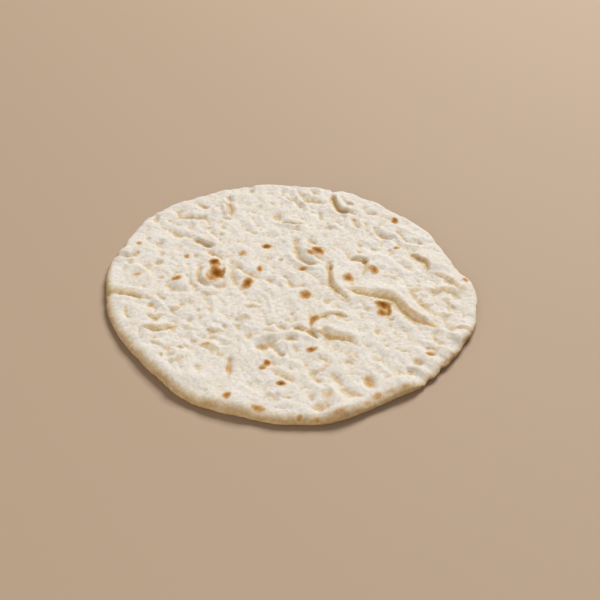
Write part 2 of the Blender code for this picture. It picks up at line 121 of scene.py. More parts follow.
# Small laps that only the fine surface has
FINE_LAPS = (
    Lap(1.6, 5.0, 6.0, ((91, -7), (94, -12), (98, -13), (103, -11), (107, -6))),
    Lap(1.7, 6.0, 6.0, ((109, -7), (112, -13), (117, -15), (122, -13), (128, -15), (135, -20))),
    Lap(1.1, 4.0, 5.0, ((102, -14), (105, -19), (108, -19), (110, -14))),
    Lap(1.4, 4.0, 6.0, ((101, -26), (104, -31), (108, -32), (113, -28))),
    Lap(1.3, 4.0, 6.0, ((117, -21), (121, -26), (125, -25), (128, -20))),
    Lap(1.1, 3.0, 5.0, ((120, -25), (124, -31), (129, -36))),
    Lap(1.3, 4.0, 6.0, ((111, -39), (117, -44), (122, -45), (128, -41))),
    Lap(1.0, 3.6, 5.0, ((73, 10), (78, 6), (84, 5), (89, 10))),
    Lap(1.6, 4.0, 5.0, ((123, -56), (128, -60), (133, -60), (137, -55))),
    Lap(1.0, 3.4, 5.0, ((78, -78), (82, -84), (89, -82))),
    Lap(1.2, 6.0, 6.0, ((-15, -101), (-9, -107), (-4, -111), (1, -114), (7, -119))),
    Lap(1.1, 3.4, 5.0, ((-16, -126), (-12, -131), (-7, -129))),
    Lap(1.3, 3.4, 5.0, ((15, -101), (20, -107), (24, -105), (29, -101))),
    Lap(1.1, 5.0, 6.0, ((39, -91), (45, -95), (52, -92))),
    Lap(1.2, 5.0, 5.0, ((-80, -53), (-76, -59), (-72, -60), (-68, -56))),
    Lap(1.2, 4.0, 5.0, ((-63, -55), (-58, -61), (-52, -62), (-45, -60))),
    Lap(1.4, 3.4, 5.0, ((-102, -73), (-96, -78), (-89, -81))),
    Lap(1.1, 4.6, 6.0, ((-89, -93), (-83, -98), (-77, -96), (-72, -93), (-66, -89))),
    Lap(1.6, 5.0, 6.0, ((-109, -40), (-105, -45), (-100, -47), (-95, -44), (-91, -39))),
    Lap(1.8, 5.0, 6.0, ((-93, -32), (-89, -37), (-85, -37), (-81, -31))),
    Lap(1.0, 3.4, 5.0, ((-70, -12), (-65, -16), (-59, -17), (-53, -13))),
    Lap(1.6, 3.8, 5.0, ((-35, -29), (-31, -34), (-27, -33), (-23, -34), (-18, -29))),
    Lap(1.2, 3.6, 5.0, ((-42, -43), (-38, -49), (-33, -46), (-26, -46))),
)

# A fold is a crest along a path, with its fall to the left and to the right of the path
Fold = namedtuple("Fold", "height left right path")
FOLDS = (
    # The ridge that arches over the middle of the near side
    Fold(1.7, 3.6, 3.0, ((-31, -72), (-20, -68), (-10, -66), (0, -64), (10, -66), (18, -70), (26, -79))),
    Fold(1.3, 3.2, 3.2, ((-14, -84), (-6, -90), (4, -95), (14, -98))),
    # The lip round the hooked crease
    Fold(1.3, 3.4, 3.0, ((0, 42), (3, 31), (9, 24), (17, 20), (27, 21))),
    # The ridge that runs in from the far rim
    Fold(1.7, 3.0, 3.0, ((1, 145), (6, 132), (11, 121), (16, 110), (20, 102))),
    Fold(1.6, 5.0, 4.0, ((66, 28), (73, 34), (81, 31), (87, 24), (92, 15), (97, 7))),
    Fold(1.2, 2.8, 2.8, ((53, -87), (61, -95), (68, -103), (71, -110))),
    Fold(1.0, 4.0, 3.0, ((-112, -66), (-98, -67), (-84, -60))),
    Fold(1.4, 3.0, 3.4, ((-84, 82), (-77, 74), (-70, 69), (-64, 60), (-59, 48))),
    # The near right rim's roll
    Fold(2.4, 3.6, 6.0, ((58, -131), (63, -126), (69, -120), (75, -116), (82, -114), (89, -114), (97, -116))),
    # The near left rim's crest
    Fold(1.8, 5.0, 5.0, ((-119, -62), (-111, -80), (-101, -91), (-91, -100), (-81, -108), (-71, -114),
                         (-59, -118))),
)
# Narrow crests that only the fine surface has
FINE_FOLDS = (
    Fold(1.6, 3.4, 2.8, ((87, 3), (88, -6), (91, -15), (94, -25), (98, -34), (103, -42))),
    Fold(1.3, 2.2, 2.4, ((42, 132), (43, 120), (47, 112), (53, 107), (62, 106))),
    Fold(0.8, 2.2, 2.2, ((78, 82), (81, 72), (86, 67), (94, 64))),
    Fold(1.3, 2.8, 2.4, ((80, 81), (91, 80), (99, 75), (105, 69), (111, 63), (121, 58))),
    Fold(2.5, 2.6, 3.4, ((17, -149), (28, -147), (39, -141), (48, -136), (57, -132), (66, -125))),
    Fold(1.4, 2.2, 2.4, ((-69, 16), (-68, 6), (-64, -1), (-58, -4), (-53, 0), (-50, 9), (-51, 20),
                         (-55, 31))),
    Fold(0.9, 2.6, 2.6, ((-3, -77), (4, -75), (12, -75), (20, -78), (24, -84))),
    Fold(1.0, 2.4, 2.4, ((94, -71), (105, -75), (113, -81), (118, -89))),
    Fold(1.0, 2.4, 2.4, ((99, -55), (110, -58), (118, -62), (124, -68), (128, -75))),
    Fold(1.2, 2.2, 2.6, ((-137, 20), (-128, 21), (-120, 18), (-114, 11), (-110, 2), (-109, -8))),
    Fold(0.8, 2.0, 2.0, ((-60, -17), (-57, -30), (-57, -46))),
    Fold(0.8, 1.8, 1.8, ((-106, -20), (-98, -28), (-92, -39))),
    Fold(1.1, 2.2, 2.2, ((-67, 112), (-61, 112), (-57, 107), (-56, 98))),
    Fold(0.9, 2.0, 2.0, ((-11, 132), (-4, 123), (3, 117))),
    Fold(0.8, 2.0, 2.0, ((27, 140), (30, 129))),
    Fold(0.9, 3.0, 3.0, ((-5, 82), (6, 81), (17, 79))),
    Fold(0.8, 2.0, 2.0, ((21, 80), (18, 66))),
    Fold(0.9, 2.0, 2.2, ((-18, -11), (-14, -28), (-10, -46))),
    Fold(0.9, 2.0, 2.0, ((14, 47), (17, 38), (23, 32))),
    Fold(0.9, 2.0, 2.0, ((-48, 20), (-53, 33), (-58, 41))),
)

# A crease is a groove along a path
Crease = namedtuple("Crease", "depth width path")
CREASES = (
    # The far side of the long fold's end
    Crease(0.5, 2.6, ((95, -2), (98, -14), (103, -26), (109, -36), (116, -44), (125, -49))),
    # The hook
    Crease(2.3, 2.9, ((5, 67), (5, 55), (6, 45), (8, 36), (12, 30), (18, 26), (27, 27))),
    # Left of the oval flap
    Crease(1.5, 2.0, ((18, -49), (17, -58), (19, -66), (24, -73))),
    # Under the arched ridge
    Crease(2.1, 3.4, ((-25, -75), (-18, -78), (-13, -76), (-9, -80), (-5, -86), (0, -89))),
    Crease(0.9, 1.8, ((-13, -74), (-6, -71), (0, -70), (7, -69))),
    # The left side's grooves
    Crease(0.8, 1.6, ((-147, -13), (-138, -17), (-130, -18), (-122, -19), (-114, -21), (-104, -22))),
    Crease(1.7, 2.2, ((-142, 37), (-136, 34), (-129, 36), (-124, 43))),
    # The far left's valley and grooves
    Crease(1.6, 2.8, ((-112, 80), (-104, 76), (-97, 69), (-91, 66), (-85, 64), (-78, 58), (-70, 52),
                      (-62, 46))),
    Crease(1.9, 2.6, ((-105, 90), (-97, 96), (-90, 95), (-82, 94), (-70, 94))),
    Crease(1.5, 2.2, ((-68, 117), (-60, 118), (-55, 115), (-53, 106), (-52, 97))),
    # The ear at the far rim, and the right side's creases
    Crease(1.5, 2.0, ((38, 136), (38, 124), (40, 113), (44, 105), (50, 102), (58, 103))),
    Crease(1.7, 2.4, ((67, 115), (66, 106), (69, 101), (79, 102))),
    Crease(1.9, 2.2, ((57, 95), (57, 85), (61, 76))),
    Crease(1.5, 1.9, ((73, 84), (74, 75), (76, 69), (80, 64), (89, 61))),
    Crease(1.7, 2.1, ((88, 73), (93, 70), (96, 64), (99, 58), (105, 55), (116, 55))),
    # The near side's creases
    Crease(1.8, 3.8, ((31, -103), (35, -113), (38, -120), (42, -126), (48, -131))),
    Crease(1.8, 2.7, ((83, -107), (90, -107), (96, -108), (102, -111), (106, -117))),
    Crease(2.2, 2.2, ((-42, -88), (-41, -99), (-41, -110))),
    Crease(1.7, 2.0, ((-9, 88), (0, 86), (13, 84))),
)
# Narrow creases that only the fine surface has
FINE_CREASES = (
    # Along the foot of the step
    Crease(0.9, 1.7, ((33, 33), (33, 22), (32, 12), (32, 4), (33, -4))),
    Crease(1.0, 1.6, ((46, 130), (49, 121), (54, 116), (61, 115))),
    Crease(1.0, 2.0, ((21, 77), (19, 67), (18, 60), (23, 52))),
    Crease(1.9, 1.8, ((-70, 24), (-73, 12), (-72, 3), (-67, -4), (-60, -7))),
    Crease(1.2, 2.3, ((-67, 5), (-62, -2), (-57, -6), (-52, -3), (-49, 5))),
    Crease(1.4, 2.8, ((-97, 5), (-95, -3), (-91, -8), (-84, -10), (-78, -8))),
    Crease(1.2, 2.4, ((-84, 11), (-79, 2), (-76, -3), (-71, -7))),
    Crease(1.0, 2.2, ((-45, 21), (-45, 9), (-42, 0), (-37, -4))),
    Crease(1.0, 2.2, ((-44, 25), (-36, 14), (-28, 9), (-22, 0))),
    Crease(1.1, 2.2, ((-8, 148), (-7, 138), (-7, 128))),
    Crease(0.8, 2.2, ((9, 142), (9, 133), (14, 129), (21, 131))),
    Crease(1.2, 2.8, ((-18, 7), (-13, 1), (-8, -4), (-3, -6))),
    Crease(1.1, 2.8, ((-6, 9), (-1, 5), (1, 0), (6, -4), (14, -3))),
    Crease(1.2, 2.2, ((-106, -14), (-100, -19), (-95, -23))),
    Crease(1.0, 2.1, ((-109, -26), (-104, -31), (-99, -35))),
    Crease(1.1, 2.4, ((-124, -31), (-124, -39), (-121, -45), (-115, -47))),
    Crease(0.7, 2.2, ((-84, -32), (-80, -26), (-72, -26))),
    Crease(0.7, 2.1, ((-90, 29), (-89, 19))),
    Crease(0.7, 2.0, ((-84, 31), (-82, 21))),
    Crease(1.3, 2.8, ((-68, 45), (-64, 39), (-58, 37), (-51, 32))),
    Crease(0.8, 2.1, ((80, -59), (80, -68))),
    Crease(1.2, 2.4, ((17, 38), (24, 34), (30, 31), (35, 24))),
    Crease(0.7, 2.2, ((-24, -47), (-12, -50), (-2, -57), (12, -58))),
    Crease(0.8, 2.2, ((94, -13), (97, -18), (99, -24))),
    Crease(1.1, 3.4, ((87, 28), (93, 23), (97, 18), (102, 12))),
    Crease(1.0, 2.2, ((50, 34), (56, 31), (61, 29), (64, 25))),
    Crease(0.9, 2.0, ((55, -25), (59, -32), (63, -39))),
    Crease(1.1, 2.2, ((98, -81), (104, -79), (107, -83), (104, -88), (97, -87))),
    Crease(0.8, 2.4, ((-31, -106), (-26, -117), (-20, -127))),
    Crease(1.0, 2.4, ((21, -89), (27, -93), (33, -97))),
    Crease(0.8, 2.2, ((16, -120), (17, -128), (17, -137))),
    Crease(0.7, 2.1, ((-3, -129), (3, -133), (9, -137))),
    Crease(1.1, 2.6, ((-38, -51), (-37, -58), (-35, -65))),
    Crease(0.8, 1.9, ((-18, -56), (-11, -61), (-5, -64))),
    Crease(1.0, 2.1, ((-76, -64), (-71, -69), (-67, -74))),
    Crease(0.9, 2.1, ((-111, -57), (-109, -66), (-108, -78))),
    Crease(1.0, 2.6, ((-64, -97), (-63, -105), (-62, -113))),
    Crease(1.4, 2.2, ((-56, 133), (-54, 120), (-53, 110), (-52, 96))),
    Crease(0.8, 1.9, ((-63, 107), (-58, 100))),
    Crease(1.4, 2.8, ((7, 124), (15, 122), (24, 121), (32, 115))),
    Crease(1.1, 2.1, ((3, 126), (7, 116), (11, 109))),
    Crease(1.0, 2.1, ((12, 121), (18, 112), (20, 102))),
    Crease(0.7, 2.6, ((-52, 103), (-40, 105), (-28, 104))),
    Crease(1.2, 2.6, ((-34, 95), (-30, 88), (-26, 81))),
    Crease(0.9, 2.0, ((41, 96), (51, 94))),
    Crease(0.8, 2.1, ((33, 89), (32, 82), (35, 76), (43, 76))),
    Crease(1.0, 2.2, ((66, 89), (67, 80), (69, 70))),
    Crease(0.8, 2.3, ((79, 98), (89, 91))),
    Crease(0.9, 2.2, ((60, 60), (60, 50))),
    Crease(0.7, 2.1, ((-20, -34), (-17, -47))),
)

# A mound stands above the surface, and below it where its height is negative. Its turn is in degrees.
Mound = namedtuple("Mound", "x y height long wide turn", defaults=[0])
MOUNDS = (
    # The large blister, the small one beside it and the swelling at the left rim
    Mound(-62, 13, 2.6, 11, 17, -8),
    Mound(-86, -1, 2, 8, 8),
    Mound(-121, 8, 2, 13, 12),
    Mound(-133, 44, 1.2, 7, 6),
    # The oval flap
    Mound(35, -54, 2.2, 16, 8, -12),
    # The lobes along the far and right rim
    Mound(51, 119, 1.4, 10, 12, 25),
    Mound(75, 110, 1.5, 8, 7),
    Mound(84, 76, 0.9, 8, 9),
    Mound(108, 66, 0.9, 10, 7, -20),
    Mound(128, -68, 2.6, 8, 7, 20),
    Mound(114, -85, 2.2, 6, 7, 40),
    Mound(-62, 106, 1.8, 8, 9),
    # The near lobes
    Mound(83, -117, 1.4, 15, 6, 8),
    Mound(19, 41, 1.8, 9, 9),
    # Dents
    Mound(-11, 97, -2.2, 4.6, 6.4, 20),
    Mound(-78, 58, -1.2, 4, 3),
    Mound(-69, 52, -1.7, 5.6, 3.4, -30),
    Mound(-125, -57, -1.6, 4, 5),
    Mound(23, -141, -2.4, 7, 4.6, 12),
    Mound(-36, 141, -1.9, 3, 5),
    Mound(13, 125, -1.4, 5, 4),
    Mound(27, 98, -1.7, 2.4, 7, 10),
    Mound(-18, 67, -1.4, 8, 5),
    Mound(-77, 112, -2, 5.6, 3.6, -35),
    Mound(-97, 102, -2.4, 4, 6, -25),
    Mound(-117, 92, -2.2, 2.8, 6, 10),
    Mound(-109, 54, -2, 3.4, 4.6),
    Mound(-107, 27, -1.7, 3.6, 3.6),
    Mound(33, 19, -1.8, 3.4, 4.6),
    Mound(112, -68, -0.9, 9, 5, -20),
    Mound(57, -115, -2.2, 4.4, 8.6, 8),
    Mound(27, -129, -2.2, 5, 6),
    Mound(94, -95, -1.5, 4, 4),
    Mound(102, -84, -1.2, 4, 3.4),
    Mound(46, -88, -1.1, 7, 6),
)
# Small dents and pimples that only the fine surface has
FINE_MOUNDS = (
    Mound(-60, 8, -0.9, 5, 8),
    Mound(-67, 1, 0.6, 1.8, 2.2),
    Mound(-61, -1, 0.7, 1.8, 1.8),
    Mound(-55, 3, 0.6, 1.8, 2.4),
    Mound(-114, 105, -1.6, 3, 2.6),
    Mound(-120, 62, -0.8, 2.4, 2.6),
    Mound(-58, 67, -1.1, 2.4, 2.8),
    Mound(-55, 94, -1.2, 3.4, 2.4),
    Mound(-104, 90, -1, 3, 2.2),
    Mound(-96, 83, -0.9, 2.6, 3.6),
    Mound(-71, 78, -0.9, 3.6, 2.4),
    Mound(-58, 79, -0.9, 2.2, 3.8),
    Mound(-122, 75, -0.8, 2.6, 2.6),
    Mound(-137, 37, -1.5, 3, 2.8),
    Mound(-131, 26, -1, 6, 2.6),
    Mound(-105, 38, -1, 3, 3.4),
    Mound(-102, 6, -1.1, 2.4, 2.4),
    Mound(-124, 12, -1.2, 6, 4, -20),
    Mound(-117, -6, -0.9, 7, 4),
    Mound(-77, 38, -1.2, 2.2, 3.4),
    Mound(-75, -47, -1.2, 3.4, 2.8),
    Mound(-66, -45, -0.8, 2.6, 2.4),
    Mound(-69, -36, -1.1, 2.8, 2.2),
    Mound(-35, 139, -1, 2.4, 2.6),
    Mound(13, 132, -1, 3, 1.8),
    Mound(22, 136, -1.2, 1.8, 3.4),
    Mound(1, 122, -0.9, 1.8, 1.8),
    Mound(-16, 118, -1, 3, 3),
    Mound(-10, 83, -1.1, 2.2, 1.8),
    Mound(-30, 72, -0.9, 2.2, 2.2),
    Mound(-31, 56, -1, 2.2, 2.2),
    Mound(38, 81, 1.3, 4.6, 4.6),
    Mound(7, 61, -0.9, 1.4, 4.6),
    Mound(-7, 31, -1.3, 2.4, 2.4),
    Mound(-15, 35, -0.9, 3, 3.4),
    Mound(53, 116, -1.1, 3.4, 2.2),
    Mound(101, 85, -1.1, 2.6, 4),
    Mound(120, 57, -0.8, 2.4, 2.6),
    Mound(62, 28, -1.2, 2.4, 3.2),
    Mound(58, 42, -0.8, 2.6, 2.4),
    Mound(88, -4, -1.2, 2, 4),
    Mound(70, 47, -0.8, 3, 2.2),
    Mound(77, 37, -0.8, 2.6, 1.8),
    Mound(76, 18, -0.9, 4, 2.2),
    Mound(30, -24, -0.9, 3, 3.4),
    Mound(52, -30, -1.1, 2.4, 3.8),
    Mound(79, -46, -0.9, 2, 2),
    Mound(66, -63, -1.3, 2, 3.8),
    Mound(73, -78, -0.9, 2.4, 3),
    Mound(63, -92, -0.9, 4, 4),
    Mound(87, -104, -0.9, 2.6, 2),
    Mound(-91, -89, -1.5, 1.7, 2.6),
    Mound(-72, -89, -1, 2.8, 3.2),
    Mound(-78, -80, -0.8, 2.2, 2.2),
    Mound(-65, -67, -0.9, 4, 2.8),
    Mound(-57, -126, -1.6, 2.6, 3),
    Mound(-30, -66, -1, 3.4, 3.6),
    Mound(-15, -52, -1.2, 3, 2.2),
    Mound(-47, -55, -0.8, 2.6, 3),
    Mound(-4, -87, -1, 3, 2.6),
    Mound(37, -97, -1.1, 1.8, 2.4),
    Mound(22, -114, -1, 2.4, 2.4),
    Mound(28, -116, -0.9, 3, 2),
    Mound(45, -107, -0.9, 3, 2.2),
    Mound(3, -39, -0.9, 2, 2.6),
    Mound(12, -48, -1, 2, 2),
    Mound(-5, -142, -1, 5, 1.8),
    Mound(133, -44, -1.1, 1.8, 3.8),
)

# Unevenness of the whole top and of the outline: wavelengths and heights, and the seed of each
WRINKLES = ((30.0, 0.8), (14.0, 0.9), (8.0, 0.5))
WRINKLE_SEED = 11
WRINKLE_TURN = -55.0        # the direction in which the small swellings are drawn out
WRINKLE_STRETCH = 1.7       # and by how much
RIM_LUMPS = ((34.0, 1.0), (13.0, 0.9))
RIM_SEED = 31
GRAIN = ((5.2, 0.44), (3.0, 0.38), (1.9, 0.30))
GRAIN_SEED = 51
SIDE_SEED = 60
SIDE_SQUEEZE = 3            # how much closer the side's swellings lie up and down than along the rim
PUCKERS = ((21.0, 2.2), (12.0, 1.8), (7.0, 0.9))
PUCKER_SEED = 71
PUCKER_SOFT = 0.10          # rounds the creases between the swellings
PUCKER_LEVEL = 0.22         # brings the swellings' mean height down to nothing

PATH_STEPS = 5              # straight pieces between two points of a path
PATH_REACH = 3              # widths from a path at which its crest or face has run out
PATH_FADE = 0.16            # share of a path over which its height runs out at each end
LAP_FADE = 0.28             # and the same for a lap
LAP_ENDS = 0.4              # a face's width at its path's ends, as a share of its full width
LAP_ROUND = 0.45            # 0 for an even slant up to a sharp edge, 1 for a rounded face
LAP_EDGE = 0.16             # how far the dough's edge stands up, as a share of the lap's height
LAP_EDGE_WIDTH = 2.0        # half the width of that edge
# The dough swells on both sides of a crease, as shares of the crease's depth and width
LIP_HEIGHT = 0.35
LIP_PLACE = 2.3
LIP_WIDTH = 1.0
LIP_REACH = 1.6             # how much farther than its own path's reach a crease's lips stand
CREASE_EDGE = 1.6           # below 2, a crease has a sharper bottom
MOUND_EDGE = 1.5            # above 1, a mound has a flatter top and a firmer edge
BARE_AND_SHADE_FROM = 2.3             # height of a fold at which its face is quite bare of flour and fully tan, the tan partly painted shade
BARE_AND_SHADE_UP_TO = 1.7            # above 1, the face stays bare and painted shaded nearer to its upper edge
SMOOTHED = 0.7              # how much of the small unevenness a bare face loses
TAUT_FROM = 2.4             # height at which the dough over a fold or a blister is quite taut
TAUT = 0.75                 # and how smooth it is there, as a share of a bare face's smoothness
THINNEST = 2.6              # least dough between the top and the underside

# A toasted spot, or, in a few dents and creases, a tint that is partly painted shade: its place, half-length,
# half-width, turn in degrees and how dark it is
Spot = namedtuple("Spot", "x y long wide turn dark")
SPOTS = (
    Spot(-60.5, 25.5, 4.2, 5.6, 10, 0.95),
    Spot(-58, 11, 6, 8.6, 12, 0.95),
    Spot(-64, 6, 3, 6, 30, 0.20),
    Spot(-89.5, 4.5, 4.6, 4.6, 0, 0.62),
    Spot(-84.5, 36.5, 2.6, 4.6, -10, 0.50),
    Spot(-38.5, 38.5, 4.4, 4.6, 0, 0.38),
    Spot(-19.5, 51, 4, 3.2, 0, 0.85),
    Spot(-23.5, 18.5, 2.2, 5, 0, 0.70),
    Spot(-32.5, -1, 4.2, 7.4, -15, 0.80),
    Spot(24, 44, 5.8, 6.4, 10, 0.85),
    Spot(17.5, 39, 2.6, 4.6, 20, 0.50),
    Spot(11.5, 17.5, 4, 2.2, 10, 0.62),
    Spot(13.5, -16, 5.2, 6, -10, 0.62),
    Spot(48, 6, 4.6, 5.2, 0, 0.66),
    Spot(68, 15.5, 5.2, 7.4, 0, 0.34),
    Spot(69.5, 15.5, 3, 4.8, 0, 0.40),
    Spot(92, 89, 3.2, 5.4, 0, 0.72),
    Spot(90, 47.5, 3.2, 2.2, 25, 0.52),
    Spot(73.5, -28.5, 6, 4, -4, 0.98),
    Spot(77.5, -35, 1.7, 6, -4, 0.66),
    Spot(72, -39.5, 5.4, 3.6, 0, 0.60),
    Spot(71.5, -33, 6.6, 9.5, 0, 0.26),
    Spot(19.5, -46, 3.8, 5, -20, 0.62),
    Spot(17.5, -55, 1.8, 6, 0, 0.24),
    Spot(17.5, -82.5, 4.4, 3, 0, 0.72),
    Spot(-14.5, -95.5, 2.8, 3.6, 0, 0.78),
    Spot(-17.5, -101.5, 3.4, 3.2, 20, 0.60),
    Spot(-4, -118, 4.2, 2.6, -12, 0.85),
    Spot(-40.5, -131, 3.6, 4, 0, 0.62),
    Spot(-19, -142, 5.6, 4, -20, 0.52),
    Spot(103, -86, 3.8, 3, -15, 0.52),
    Spot(57, -115, 4.6, 8.6, 8, 0.30),
    Spot(141, 2, 3.4, 3.4, 0, 0.42),
    Spot(138, -9, 4.2, 4, 0, 0.20),
    Spot(124, 10, 8, 4.5, -10, 0.10),
    Spot(-63, 39, 2.6, 3.6, 0, 0.32),
    Spot(-42, -99, 2.2, 7, 0, 0.30),
    Spot(18, 129, 11, 6, -34, 0.12),
    Spot(18, 121.5, 9, 2.4, 0, 0.22),
    Spot(4, 86, 11, 2.2, -3, 0.20),
    Spot(-12, 97, 7, 6, 0, 0.10),
    Spot(56, 86, 2.4, 5, 15, 0.14),
    Spot(73, 78, 2, 5, 0, 0.12),
    Spot(106, 85, 3, 3, 0, 0.10),
    Spot(-121.5, 8, 4.4, 4.2, 0, 0.36),
    Spot(-126, 53, 2.8, 4.4, 0, 0.42),
    Spot(-106, -30, 2.6, 2.6, -40, 0.36),
    Spot(-70, -35, 3.4, 2.4, 0, 0.18),
    Spot(-74, 58, 5, 3.4, 0, 0.16),
    Spot(-59.5, -76, 5.8, 4, 0, 0.28),
    Spot(28, -128.5, 6, 6.6, 0, 0.21),
    Spot(28, -99.5, 4.2, 2.2, 25, 0.24),
    Spot(46, -88, 6, 5.6, 0, 0.14),
    Spot(40, 35, 2, 2, 0, 0.10),
    # Warm tints on the long fold's end, on the blister's lower part and in the broad dents. The tints in the
    # dents, in the crease under the arched ridge and in the far left valley are partly painted shade.
    Spot(92.5, -38, 20, 3.4, -53, 0.22),
    Spot(34.5, 4, 3.2, 18, 3, 0.17),
    Spot(23, -139, 6.8, 5, 10, 0.18),
    Spot(58, -23, 11, 5, -10, 0.12),
    Spot(121, 26, 11, 8, -40, 0.12),
    Spot(33, -52, 13, 6, -8, 0.12),
    Spot(108, -55, 8, 3.2, -25, 0.30),
    Spot(-63, 1, 9, 6, 0, 0.22),
    Spot(-53, 12, 2.2, 7.6, -6, 0.42),
    Spot(-15, -76, 9, 5, 0, 0.20),
    Spot(-97, 68, 7, 4, -20, 0.13),
    # The near rim's toasted side
    Spot(9, -152, 2.6, 4.4, 0, 0.52),
    Spot(21, -154, 3.6, 3.4, 0, 0.42),
    Spot(35, -149, 7, 4, 14, 0.30),
    Spot(39, -145, 5.6, 2.6, 25, 0.18),
    Spot(60, -132, 9, 5, 28, 0.17),
    Spot(55, -139, 4.4, 3.4, 20, 0.26),
    Spot(63, -132, 2.6, 3.4, 0, 0.36),
    Spot(72, -128, 4.4, 3.2, 20, 0.26),
    Spot(83, -124, 6, 3.2, 10, 0.32),
    Spot(114, -95, 3.6, 2.6, 45, 0.34),
)
SPOT_RAGGED = 0.30          # how far the spots' edges wander, as a share of their size
SPOT_WAVES = ((5.0, 1.0), (2.4, 0.6))
SPOT_SEED = 121
SPOT_SPREAD = 0.85          # share of its size at which a spot has paled to a third
SPOT_EDGE = 2.4             # above 2, a spot is evener inside and paler past its edge
SPOT_SINK = 0.35            # millimetres that the darkest spots lie below the crust round them

# Levels on the rim's side between which a look changes: 1 is its upper edge and -1 its foot
TOAST_ENDS = (0.4, -0.6)
LOW_SIDE = (0.6, -0.4)
UNDER_STARTS = (-0.375, -1.0)

# The mesh: quads across the top, rows down the rim's side, and triangles once its flat parts are simpler
ACROSS = 340
DOWN = 14
TRIANGLES = 196000
UNDER_DIMPLES = ((16.0, 0.5), (7.0, 0.35), (3.2, 0.16))
UNDER_SEED = 91
FINE_ROUNDS = 8             # rounds of smoothing that tell a small pit from the crust round it
BROAD_ROUNDS = 60           # and a broad hollow
ROUNDING = 0.0001           # places of the blank that differ by less are the same


def around(values, angle):
    """A smooth closed curve through values that stand evenly round the rim."""
    count = len(values)
    place = angle / (2 * math.pi) * count
    start = np.floor(place).astype(int)
    t = place - start
    before, here, after, beyond = (np.take(values, (start + step) % count) for step in (-1, 0, 1, 2))
    bend = 2 * before - 5 * here + 4 * after - beyond
    twist = 3 * (here - after) + beyond - before
    return here + t / 2 * (after - before + t * (bend + t * twist))


def ripple(x, y, waves, seed, shape=None):
    """Uneven dough: smooth noise of several wavelengths, each shifted by the seed."""
    total = np.zeros(len(x))
    for number, (length, height) in enumerate(waves):
        layer = seed + number
        wave = np.array([noise.noise(Vector((a / length, b / length, layer))) for a, b in zip(x, y)])
        total += height * (wave if shape is None else shape(wave))
    return total


def drawn_out(x, y):
    """The same places with the wrinkles' direction squeezed, so that swellings laid on them are drawn out."""
    turn = math.radians(WRINKLE_TURN)
    ahead = (x * math.cos(turn) + y * math.sin(turn)) / WRINKLE_STRETCH
    return ahead, y * math.cos(turn) - x * math.sin(turn)


def pucker(wave):
    """Rounded swellings that meet in sharp creases."""
    return np.sqrt(wave * wave + PUCKER_SOFT ** 2) - PUCKER_LEVEL


def smooth_path(points):
    """A path's own points with a curve through them, as a closely spaced line."""
    ends = [points[0], *points, points[-1]]
    line = []
    for before, here, after, beyond in zip(ends, ends[1:], ends[2:], ends[3:]):
        before, here, after, beyond = (np.array(point, float) for point in (before, here, after, beyond))
        bend = 2 * before - 5 * here + 4 * after - beyond
        twist = 3 * (here - after) + beyond - before
        for t in np.arange(PATH_STEPS) / PATH_STEPS:
            line.append(here + t / 2 * (after - before + t * (bend + t * twist)))
    line.append(np.array(points[-1], float))
    return np.array(line)


def beside_path(x, y, points):
    """Each place's signed distance from a path, positive on its left, and its share of the way along."""
    line = smooth_path(points)
    lengths = np.linalg.norm(np.diff(line, axis=0), axis=1)
    travelled = np.concatenate([[0], np.cumsum(lengths)]) / lengths.sum()
    nearest = np.full(len(x), np.inf)
    side = np.ones(len(x))
    along = np.zeros(len(x))
    for number, (start, end) in enumerate(zip(line, line[1:])):
        run = end - start
        share = ((x - start[0]) * run[0] + (y - start[1]) * run[1]) / (run @ run)
        share = np.clip(share, 0, 1)
        off_x = x - start[0] - share * run[0]
        off_y = y - start[1] - share * run[1]
        distance = np.hypot(off_x, off_y)
        closer = distance < nearest
        nearest = np.where(closer, distance, nearest)
        side = np.where(closer, np.sign(run[0] * off_y - run[1] * off_x), side)
        reached = travelled[number] + share * (travelled[number + 1] - travelled[number])
        along = np.where(closer, reached, along)
    return nearest * side, along


def fading(along, fade=PATH_FADE):
    """Full height along a path's middle, running out at both its ends."""
    rise = np.clip(along / fade, 0, 1) * np.clip((1 - along) / fade, 0, 1)
    return rise * rise * (3 - 2 * rise)


def near_path(x, y, points, width):
    """The places that a path's crest or groove can reach."""
    reach = PATH_REACH * width
    low = np.min(points, axis=0) - reach
    high = np.max(points, axis=0) + reach
    return (x > low[0]) & (x < high[0]) & (y > low[1]) & (y < high[1])


def fold_height(x, y):
    """Height of the folds' crests, steeper on one side than on the other."""
    height = np.zeros(len(x))
    for fold in FOLDS + FINE_FOLDS:
        here = near_path(x, y, fold.path, max(fold.left, fold.right))
        off, along = beside_path(x[here], y[here], fold.path)
        width = np.where(off > 0, fold.left, fold.right)
        height[here] += fold.height * fading(along) * np.exp(-(off / width) ** 2)
    return height


def lap_form(x, y):
    """Height of the folded dough, and how bare of flour and how darkened by painted shade its face is, which
    is most at the foot of its face.
    """
    height = np.zeros(len(x))
    bare_and_shade = np.zeros(len(x))
    for lap in LAPS + FINE_LAPS:
        here = near_path(x, y, lap.path, lap.face + lap.reach)
        off, along = beside_path(x[here], y[here], lap.path)
        share = fading(along, LAP_FADE)
        face = lap.face * (LAP_ENDS + (1 - LAP_ENDS) * share)
        up = np.clip(off / face, 0, 1)
        behind = np.exp(-(np.clip(off - face, 0, None) / lap.reach) ** 2)
        full = lap.height * share
        slant = up + LAP_ROUND * (np.sin(up * math.pi / 2) - up)
        edge = LAP_EDGE * np.exp(-((off - face) / LAP_EDGE_WIDTH) ** 2)
        height[here] += full * (slant * behind + edge)
        # The face's tan is partly bare dough and partly painted shade on a face that turns away from the
        # light
        bare_and_shaded_face = np.where(off > 0, 1 - up ** BARE_AND_SHADE_UP_TO, 0) * np.clip(full / BARE_AND_SHADE_FROM, 0, 1)
        bare_and_shade[here] = np.maximum(bare_and_shade[here], bare_and_shaded_face)
    return height, bare_and_shade


